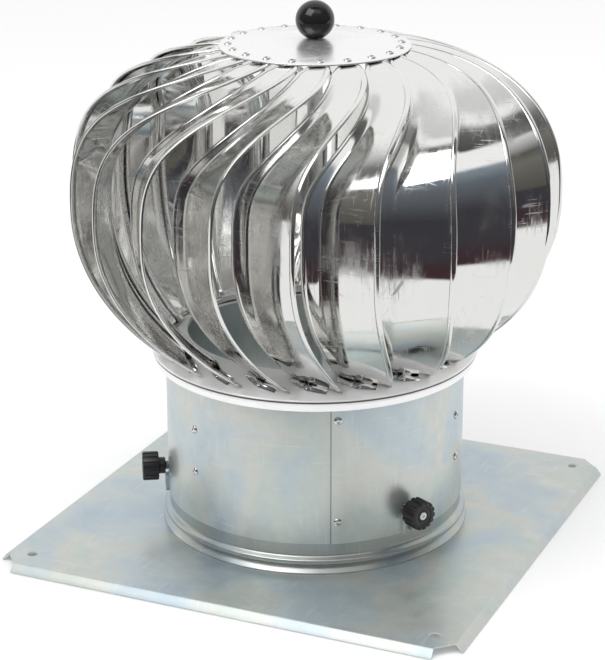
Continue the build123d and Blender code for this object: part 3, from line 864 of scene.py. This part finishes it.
def make_ball():
    """Ball on a flat foot."""
    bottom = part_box("ball_knob")[0][2]
    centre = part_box("ball_knob")[1][2] - BALL_RADIUS
    foot = math.asin((bottom - centre) / BALL_RADIUS)
    profile = [(0.0, bottom), (BALL_RADIUS * math.cos(foot) - BALL_FOOT_EASE, bottom)]
    start = foot + BALL_FOOT_TURN
    for step in range(BALL_STEPS):
        turn = start + (math.pi / 2 - start) * step / BALL_STEPS
        profile.append((BALL_RADIUS * math.cos(turn), centre + BALL_RADIUS * math.sin(turn)))
    profile.append((0.0, centre + BALL_RADIUS))
    bm = bmesh.new()
    lathe(bm, profile, BALL_SEGMENTS, closed=False)
    return finished("ball", bm, "rotor", "black_plastic", "ball_knob", "ball_insert")


make_ring()
make_disc()
make_ball()


# ---- rivets ---------------------------------------------------------------------------------
def add_rivet(bm, place, grip):
    """A blind rivet: domed head, the broken mandrel in its hollow and the shank behind."""
    before = set(bm.verts)
    profile = [
        (0.0, RIVET_RISE * 0.55), (MANDREL_RADIUS * 0.75, RIVET_RISE * 0.5),
        (MANDREL_RADIUS * 0.8, RIVET_RISE * 0.35), (MANDREL_RADIUS, RIVET_RISE * 0.4),
        (MANDREL_RADIUS * 1.05, RIVET_RISE * 0.93), (MANDREL_RADIUS * 1.25, RIVET_RISE),
        (RIVET_HEAD * 0.62, RIVET_RISE * 0.92), (RIVET_HEAD * 0.82, RIVET_RISE * 0.66),
        (RIVET_HEAD * 0.95, RIVET_RISE * 0.32), (RIVET_HEAD, RIVET_EDGE), (RIVET_HEAD * 0.97, 0.0),
        (RIVET_SHANK, 0.0), (RIVET_SHANK, -grip), (0.0, -grip),
    ]
    lathe(bm, profile, RIVET_SEGMENTS, closed=False)
    fresh = [vert for vert in bm.verts if vert not in before]
    bmesh.ops.transform(bm, matrix=place, verts=fresh)


def make_rivets(name, body, node, places, grip):
    """All the rivets of one node, as one piece."""
    bm = bmesh.new()
    for place in places:
        add_rivet(bm, place, grip)
    return finished(name, bm, body, "rivet", node)


def wall_place(azimuth, height, radius=NECK_RADIUS + RIVET_STAND):
    """On the neck's wall, facing out."""
    return facing(at_azimuth(radius, azimuth, height), at_azimuth(1, azimuth, 0), AXIS_Z)


def disc_rivet_places():
    """Over each vane's tab, square to the disc."""
    lean = math.atan2(DISC_RISE, DISC_RADIUS - FLANGE_RADIUS)
    height = RIM_HEIGHT + DISC_SEAT + disc_crown(TOP_RIVET_RADIUS) + DISC_SHEET + RIVET_STAND
    for index in range(VANE_COUNT):
        azimuth = VANE_PHASE + VANE_PITCH * index + TOP_SWEEP - TAB_ANGLE / 2
        off_disc = at_azimuth(math.sin(lean), azimuth, math.cos(lean))
        yield facing(at_azimuth(TOP_RIVET_RADIUS, azimuth, height), off_disc, AXIS_X)


def foot_rivet_places():
    """On each vane's foot."""
    seat = foot_frame() @ Matrix.Translation((FOOT_SHIFT, FOOT_RIVET_REACH, RIVET_STAND))
    for index in range(VANE_COUNT):
        yield Matrix.Rotation(math.radians(VANE_PHASE + VANE_PITCH * index), 4, "Z") @ seat


lap_radius = NECK_RADIUS + NECK_SHEET + RIVET_STAND
lap_places = [wall_place(SEAM_AZIMUTH, height, lap_radius) for height in SEAM_RIVET_HEIGHTS]
arm_places = [wall_place(azimuth, height) for azimuth in ARM_AZIMUTHS for height in ARM_RIVET_HEIGHTS]
make_rivets("disc_rivets", "rotor", "top_rivets", disc_rivet_places(), DISC_GRIP)
make_rivets("foot_rivets", "rotor", "ring_rivets", foot_rivet_places(), FOOT_GRIP)
make_rivets("lap_rivets", "neck", "seam_rivets", lap_places, LAP_GRIP)
make_rivets("arm_rivets", "neck", "spider_rivets", arm_places, ARM_GRIP)


# ---- neck, collar and flange ----------------------------------------------------------------
def parted(bm, point, across):
    """Cuts a sheet's faces along a plane, with nothing taken away."""
    geom = bm.verts[:] + bm.edges[:] + bm.faces[:]
    bmesh.ops.bisect_plane(bm, geom=geom, plane_co=point, plane_no=across)


def make_neck():
    """Neck rolled from a flat blank: slots cut from below, one end lapped over the other."""
    bm = bmesh.new()
    verts, edges = chain(bm, [Vector((0, 0, NECK_BOTTOM)), Vector((0, 0, NECK_TOP))])
    reach = (math.tau + SEAM_LAP / NECK_RADIUS) * NECK_RADIUS
    for _ in range(NECK_STEPS):
        edges = pushed_on(bm, edges, lambda vert: vert.co + AXIS_X * reach / NECK_STEPS)
    slots = [(math.radians(azimuth) - LAP_START) % math.tau * NECK_RADIUS for azimuth in SCREW_AZIMUTHS]
    top = SCREW_HEIGHT + SLOT_MOUTH / 2
    for x in slots:
        for cut in (x - SLOT_MOUTH / 2, x + SLOT_MOUTH / 2):
            parted(bm, (cut, 0, 0), AXIS_X)
    for height in (NECK_BOTTOM + SLOT_LIP_HEIGHT, top):
        parted(bm, (0, 0, height), AXIS_Z)
    gone = []
    for face in bm.faces:
        centre = face.calc_center_median()
        if centre.z < top and any(abs(centre.x - x) < SLOT_MOUTH / 2 for x in slots):
            gone.append(face)
    bmesh.ops.delete(bm, geom=gone, context="FACES")
    lips = []
    for edge in bm.edges:
        middle = (edge.verts[0].co + edge.verts[1].co) / 2
        on_side = any(abs(abs(middle.x - x) - SLOT_MOUTH / 2) < 0.01 * MM for x in slots)
        if edge.is_boundary and on_side and middle.z < NECK_BOTTOM + SLOT_LIP_HEIGHT:
            lips.append(edge)
    for share in (0.3, 1.0):
        out = (NECK_SHEET + SLOT_LIP) * share
        lips = pushed_on(bm, lips, lambda vert: Vector((vert.co.x, -out, vert.co.z)))
    for vert in bm.verts:
        over = min(max((SEAM_LAP + LAP_RAMP - vert.co.x) / LAP_RAMP, 0), 1)
        radius = NECK_RADIUS - vert.co.y + (NECK_SHEET + LAP_GAP) * (3 * over ** 2 - 2 * over ** 3)
        vert.co = at_azimuth(radius, math.degrees(LAP_START + vert.co.x / NECK_RADIUS), vert.co.z)
    return finished("neck_wall", bm, "neck", "zinc_neck", "neck_shell", sheet=NECK_SHEET)


def make_collar():
    """Spun collar: spigot, foot on the flange, bead and plain tube, without the screws' holes."""
    low = BEAD_HEIGHT - BEAD_HALF
    high = BEAD_HEIGHT + BEAD_HALF
    third = BEAD_HALF / 3
    inner = COLLAR_RADIUS - COLLAR_SHEET
    bead_inner = BEAD_RADIUS - COLLAR_SHEET
    bm = bmesh.new()
    lathe(bm, rounded([
        (inner, COLLAR_BOTTOM), (COLLAR_RADIUS, COLLAR_BOTTOM), (COLLAR_RADIUS, PLATE_TOP),
        (COLLAR_FOOT, PLATE_TOP), (COLLAR_FOOT, PLATE_TOP + COLLAR_FOOT_SHEET), (COLLAR_RADIUS, low),
        (BEAD_RADIUS, BEAD_HEIGHT - third),
        (BEAD_RADIUS, BEAD_HEIGHT + third), (COLLAR_RADIUS, high), (COLLAR_RADIUS, COLLAR_TOP),
        (inner, COLLAR_TOP), (inner, high + COLLAR_SHEET / 2), (bead_inner, BEAD_HEIGHT + third),
        (bead_inner, BEAD_HEIGHT - third),
        (inner, low - COLLAR_SHEET / 2),
    ], COLLAR_ROUND), COLLAR_SEGMENTS)
    return finished("collar_bead", bm, "base", "zinc_collar", "base_collar")


def make_flange():
    """Square flange: flat top with a duct hole and bolt holes, and a border bent down along each side."""
    half = PLATE_SIDE / 2 - PLATE_BORDER
    cut = PLATE_SIDE / 2 - CORNER_CUT
    bm = bmesh.new()
    corners = []
    for x, y in ((1, 1), (-1, 1), (-1, -1), (1, -1)):
        pair = [Vector((x * half, y * cut, PLATE_TOP)), Vector((x * cut, y * half, PLATE_TOP))]
        corners += pair if x * y > 0 else pair[::-1]
    verts = [bm.verts.new(corner) for corner in corners]
    edges = [bm.edges.new(pair) for pair in zip(verts, verts[1:] + verts[:1])]
    borders = [edge for edge in edges if edge.calc_length() > half]
    rim = list(edges)
    holes = [(DUCT_RADIUS, DUCT_SEGMENTS, 0, 0)]
    for x in (-1, 1):
        for y in (-1, 1):
            holes.append((BOLT_HOLE, BOLT_SEGMENTS, x * BOLT_SQUARE / 2, y * BOLT_SQUARE / 2))
    for radius, segments, x, y in holes:
        place = Matrix.Translation((x, y, PLATE_TOP))
        hole = bmesh.ops.create_circle(bm, radius=radius, segments=segments, matrix=place)
        rim += list({edge for vert in hole["verts"] for edge in vert.link_edges})
    bmesh.ops.triangle_fill(bm, edges=rim, use_beauty=True, normal=AXIS_Z)
    for border in borders:
        middle = (border.verts[0].co + border.verts[1].co) / 2
        away = Vector((middle.x, middle.y, 0)).normalized()
        strip = [border]
        for out, down in (*BORDER_BENDS, (PLATE_BORDER - BORDER_TIP_INSET, PLATE_TOP - BORDER_TIP_RISE)):
            def move(vert):
                flat = vert.co - away * vert.co.dot(away)
                return Vector((flat.x, flat.y, PLATE_TOP - down)) + away * (half + out)

            strip = pushed_on(bm, strip, move)
    return finished("flange_plate", bm, "base", "zinc_flange", "base_plate", sheet=PLATE_SHEET, upwards=True)


make_neck()
make_collar()
make_flange()


# ---- thumb screws ---------------------------------------------------------------------------
def make_knob(index, azimuth):
    """Fluted knob moulded round its hub."""
    bm = bmesh.new()
    valley = KNOB_RADIUS - FLUTE_DEPTH
    outline = []
    for flute in range(KNOB_FLUTES):
        for radius, share in ((KNOB_RADIUS, 0), (KNOB_RADIUS, 0.5), (valley, 0.6), (valley, 0.9)):
            turn = math.tau * (flute + share) / KNOB_FLUTES
            outline.append(Vector((radius * math.cos(turn), radius * math.sin(turn), HUB_LENGTH)))
    verts = [bm.verts.new(point) for point in outline]
    edges = [bm.edges.new(pair) for pair in zip(verts, verts[1:] + verts[:1])]
    bore = STUD_RADIUS + KNOB_BORE_FIT
    top = HUB_LENGTH + KNOB_LENGTH
    back = HUB_LENGTH - HUB_ROUND

    def drawn(height, radius=None, inset=0.0):
        """A move of the outline to a height: round at a radius, or with its flutes kept and inset."""
        def move(vert):
            flat = Vector((vert.co.x, vert.co.y, 0))
            length = flat.length
            return flat * ((length - inset if radius is None else radius) / length) + AXIS_Z * height
        return move

    face = (
        drawn(top - KNOB_ROUND), drawn(top - KNOB_EASE, inset=KNOB_EASE), drawn(top, inset=KNOB_ROUND),
        drawn(top, RECESS_RADIUS), drawn(top - RECESS_DEPTH, RECESS_FLOOR_RADIUS),
        drawn(top - RECESS_DEPTH, BOSS_FOOT_RADIUS), drawn(top - BOSS_DROP, BOSS_RADIUS),
        drawn(top - BOSS_DROP, bore), drawn(0.0, bore),
    )
    hub = (
        drawn(back, inset=HUB_INSET), drawn(back, HUB_RADIUS + HUB_ROUND), drawn(back - HUB_ROUND, HUB_RADIUS),
        drawn(HUB_EASE, HUB_RADIUS), drawn(0.0, HUB_RADIUS - HUB_EASE), drawn(0.0, bore),
    )
    for moves in (face, hub):
        sides = list(edges)
        for move in moves:
            sides = pushed_on(bm, sides, move)
    bmesh.ops.transform(bm, matrix=wall_place(azimuth, SCREW_HEIGHT, HUB_FACE), verts=bm.verts)
    piece = finished(f"grip_{index}", bm, f"knob_{index}", "knob_plastic", f"thumb_knob_{index}")
    soften(piece, KNOB_BEVEL)
    return piece


def make_screw(index, azimuth):
    """Grooved screw with a chamfered end, a small hollow in it, in the knob's face."""
    bm = bmesh.new()
    length = HUB_FACE + HUB_LENGTH + KNOB_LENGTH - STUD_SINK - STUD_INNER_END
    profile = [(0.0, 0.0), (STUD_RADIUS - SCREW_POINT, 0.0)]
    height = SCREW_POINT
    while height < length - 2 * THREAD_PITCH:
        profile += [(STUD_RADIUS, height), (STUD_RADIUS - THREAD_DEPTH, height + THREAD_PITCH / 2)]
        height += THREAD_PITCH
    profile += [
        (STUD_RADIUS, height), (STUD_RADIUS, length - SCREW_EASE), (STUD_RADIUS - SCREW_EASE, length),
        (SOCKET_RADIUS, length), (SOCKET_FLOOR_RADIUS, length - SOCKET_WALL), (0.0, length - SOCKET_DEPTH),
    ]
    lathe(bm, profile, SCREW_SEGMENTS, closed=False)
    bmesh.ops.transform(bm, matrix=wall_place(azimuth, SCREW_HEIGHT, STUD_INNER_END), verts=bm.verts)
    return finished(f"screw_{index}", bm, f"stud_{index}", "machined_steel", f"thumb_stud_{index}")


for index, azimuth in enumerate(SCREW_AZIMUTHS, 1):
    make_knob(index, azimuth)
    make_screw(index, azimuth)


# ---- nodes that keep their own shape ----------------------------------------------------------
KEPT = {
    "arm_steel": ("spider_arm_1", "spider_arm_2", "spider_arm_3", "bearing_housing"),
    "machined_steel": (
        "clamp_nuts", "lower_bearing_outer", "upper_bearing_outer", "lower_bearing_inner",
        "upper_bearing_inner", "shaft", "shaft_flange", "shaft_nut", "shaft_washer", "shaft_spacer",
    ),
}
for slot_name, members in KEPT.items():
    for member in members:
        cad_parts[member].data.materials.clear()
        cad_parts[member].data.materials.append(materials[slot_name])


# ---- studio -----------------------------------------------------------------------------------
FLOOR_SIDE = 12.0
TABLE_EDGE = 0.44
TABLE_WHITE = 0.94
ROOM_PURPLE = (0.052, 0.030, 0.036)
ROOM_DARK = (0.046, 0.044, 0.052)
REAR_WHITE = (0.96, 0.96, 0.96)
STUDIO_ARC = (
    (0, (0.055, 0.056, 0.065)), (14, (0.095, 0.105, 0.122)), (30, (0.125, 0.145, 0.172)),
    (47, (0.24, 0.28, 0.33)), (52, 1.0), (73, 1.0), (76, 0.08), (92, 0.14), (95, 0.95), (99, 1.0),
    (102, 0.66), (113, 0.74), (117, 0.98), (180, 0.98),
)
STUDIO_WALLS = (
    (0.0, (0.10, 0.095, 0.085)), (0.45, (0.17, 0.162, 0.145)), (0.62, (0.10, 0.098, 0.09)),
    (0.80, 0.20), (0.93, 0.50), (1.0, 0.80),
)
CAMERA_AZIMUTH = 23.59
CAMERA_ELEVATION = 19.5
TOWARDS_CAMERA = at_azimuth(1, CAMERA_AZIMUTH, 0)
RIGHT_OF_CAMERA = at_azimuth(1, CAMERA_AZIMUTH + 90, 0)
CAMERA_DISTANCE = 1.4144
CAMERA_TARGET = 0.1422
FRAME_WIDTH = 605
FRAME_HEIGHT = 660
FOCAL_PIXELS = 2117.4
PRINCIPAL_X = 315.0
PRINCIPAL_Y = 321.5
SENSOR = 36.0
LAMP_AIM = 0.15


def make_floor():
    """Pale table: seen white by the camera, and ending in a dark room for reflections."""
    bm = bmesh.new()
    bmesh.ops.create_grid(bm, x_segments=1, y_segments=1, size=FLOOR_SIDE / 2)
    mesh = bpy.data.meshes.new("floor")
    bm.to_mesh(mesh)
    bm.free()
    floor = bpy.data.objects.new("floor", mesh)
    bpy.context.scene.collection.objects.link(floor)
    made, tree, shader, coordinates = new_material("table")
    shader.inputs["Roughness"].default_value = 0.9
    shader.inputs["Base Color"].default_value = (0.92, 0.92, 0.92, 1)
    glow = tree.nodes.new("ShaderNodeEmission")
    reach = along_view(tree, coordinates.outputs["Object"], TOWARDS_CAMERA)
    edge = ramp(
        tree, reach, (TABLE_EDGE, TABLE_WHITE), (TABLE_EDGE + 0.03, ROOM_PURPLE),
        (TABLE_EDGE + 0.14, ROOM_PURPLE), (TABLE_EDGE + 0.40, ROOM_DARK),
    )
    tree.links.new(edge, glow.inputs["Color"])
    mirrored_only(tree, shader, glow, tree.nodes["Material Output"])
    mesh.materials.append(made)
    return floor


def mirrored_only(tree, plain, mirrored, out):
    """Shows one shader to mirroring surfaces and the other to everything else."""
    rays = tree.nodes.new("ShaderNodeLightPath")
    seen = tree.nodes.new("ShaderNodeMixShader")
    tree.links.new(rays.outputs["Is Glossy Ray"], seen.inputs[0])
    tree.links.new(plain.outputs[0], seen.inputs[1])
    tree.links.new(mirrored.outputs[0], seen.inputs[2])
    tree.links.new(seen.outputs[0], out.inputs["Surface"])


def along_view(tree, vector, direction):
    """How far a position or direction reaches along a fixed direction of the studio."""
    made = tree.nodes.new("ShaderNodeVectorMath")
    made.operation = "DOT_PRODUCT"
    tree.links.new(vector, made.inputs[0])
    made.inputs[1].default_value = direction
    return made.outputs["Value"]


def make_world():
    """Studio round the object: white behind and overhead, a long softbox in front of a dark room."""
    world = bpy.data.worlds.new("studio")
    bpy.context.scene.world = world
    world.use_nodes = True
    tree = world.node_tree
    ground = tree.nodes["Background"]
    coordinates = tree.nodes.new("ShaderNodeTexCoord")
    sight = coordinates.outputs["Generated"]
    front = along_view(tree, sight, TOWARDS_CAMERA)
    side = along_view(tree, sight, RIGHT_OF_CAMERA)
    height = along_view(tree, sight, AXIS_Z)
    turn = math_node(tree, "DIVIDE", math_node(tree, "ARCTAN2", height, front), math.pi)
    middle = ramp(tree, turn, *[(angle / 180, shade) for angle, shade in STUDIO_ARC])
    walls = ramp(tree, height, *STUDIO_WALLS)
    aside = ramp(tree, math_node(tree, "ABSOLUTE", side), (0.34, 0.0), (0.64, 1.0))
    behind = ramp(tree, math_node(tree, "MULTIPLY", front, -1.0), (0.10, 0.0), (0.45, 1.0))
    room = mix(tree, aside, middle, mix(tree, behind, walls, REAR_WHITE))
    tree.links.new(room, ground.inputs["Color"])
    ground.inputs["Strength"].default_value = 1.0
    plain = tree.nodes.new("ShaderNodeBackground")
    plain.inputs["Color"].default_value = (1, 1, 1, 1)
    plain.inputs["Strength"].default_value = 1.0
    mirrored_only(tree, plain, ground, tree.nodes["World Output"])


def sight_line(azimuth, elevation):
    """The direction from the object towards an azimuth and an elevation."""
    rise = math.radians(elevation)
    return at_azimuth(math.cos(rise), azimuth, math.sin(rise))


def add_lamp(name, azimuth, elevation, distance, size, power, mirrored):
    """A soft square lamp aimed at the object, which polished sheet mirrors or not."""
    lamp = bpy.data.lights.new(name, "AREA")
    lamp.energy = power
    lamp.size = size
    lit = bpy.data.objects.new(name, lamp)
    bpy.context.scene.collection.objects.link(lit)
    spot = sight_line(azimuth, elevation) * distance
    lit.location = spot + AXIS_Z * LAMP_AIM
    lit.rotation_euler = spot.to_track_quat("Z", "Y").to_euler()
    lit.visible_glossy = mirrored


def make_camera():
    """Camera at the viewing angle, with the axis placed in the frame by a small shift."""
    data = bpy.data.cameras.new("camera")
    camera = bpy.data.objects.new("camera", data)
    bpy.context.scene.collection.objects.link(camera)
    away = sight_line(CAMERA_AZIMUTH, CAMERA_ELEVATION)
    camera.location = away * CAMERA_DISTANCE + AXIS_Z * CAMERA_TARGET
    camera.rotation_euler = away.to_track_quat("Z", "Y").to_euler()
    data.sensor_fit = "AUTO"
    data.sensor_width = SENSOR
    data.lens = FOCAL_PIXELS * SENSOR / FRAME_HEIGHT
    data.shift_x = -(PRINCIPAL_X - FRAME_WIDTH / 2) / FRAME_HEIGHT
    data.shift_y = (PRINCIPAL_Y - FRAME_HEIGHT / 2) / FRAME_HEIGHT
    data.clip_start = 0.01
    data.clip_end = 50
    bpy.context.scene.camera = camera


make_floor()
make_world()
add_lamp("key_softbox", azimuth=-25, elevation=55, distance=1.6, size=1.0, power=9, mirrored=True)
add_lamp("fill_softbox", azimuth=110, elevation=40, distance=1.8, size=1.0, power=5, mirrored=False)
make_camera()
bpy.context.scene.view_settings.view_transform = "Standard"
